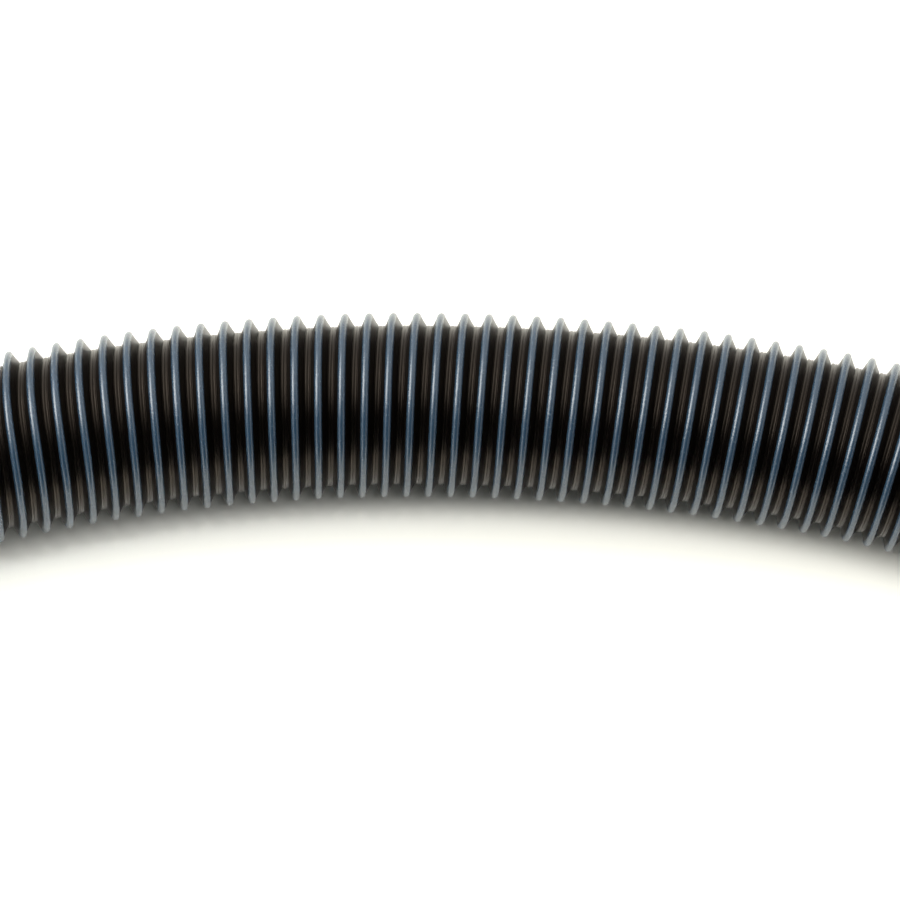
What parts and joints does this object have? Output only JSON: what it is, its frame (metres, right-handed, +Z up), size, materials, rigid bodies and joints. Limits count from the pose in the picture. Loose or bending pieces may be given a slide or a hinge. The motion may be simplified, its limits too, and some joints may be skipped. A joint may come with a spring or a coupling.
{
  "type": "pool vacuum hose",
  "caption": "Spiral-wound suction hose with a plain cuff and a swivel cuff, lying in a strapped coil with one end run out in an arc.",
  "frame": {"origin": "on the floor, under the middle of the whole object as it lies coiled", "axes": "+Z up; +Y from the coil towards the arc that runs out; +X towards the side where the run leaves the coil"},
  "size_m": [0.5811, 0.771, 0.1552],
  "materials": {
    "hose_wall": "satin ethylene vinyl acetate with a blue-grey bead on the crest",
    "cuff_black": "satin",
    "swivel_grey": "satin",
    "seal_rubber": "matt",
    "strap_fabric": "woven",
    "buckle_black": "moulded"
  },
  "bodies": {
    "hose": {"hose_lead": "hose_wall", "hose_coil": "hose_wall", "hose_tail": "hose_wall", "fixed_cuff": "cuff_black", "swivel_sleeve": "swivel_grey", "swivel_seal": "seal_rubber", "tie_strap_a": "strap_fabric", "tie_strap_b": "strap_fabric", "tie_strap_c": "strap_fabric", "tie_buckle_a": "buckle_black", "tie_buckle_b": "buckle_black", "tie_buckle_c": "buckle_black"},
    "swivel": {"swivel_cuff": "cuff_black", "swivel_ring": "swivel_grey"}
  },
  "joints": [
    {"name": "swivel_turn", "type": "hinge", "parent": "hose", "child": "swivel", "pos_m": [-0.16418, -0.26443, 0.12425], "axis": [-0.809, 0.5878, 0], "continuous": true}
  ]
}
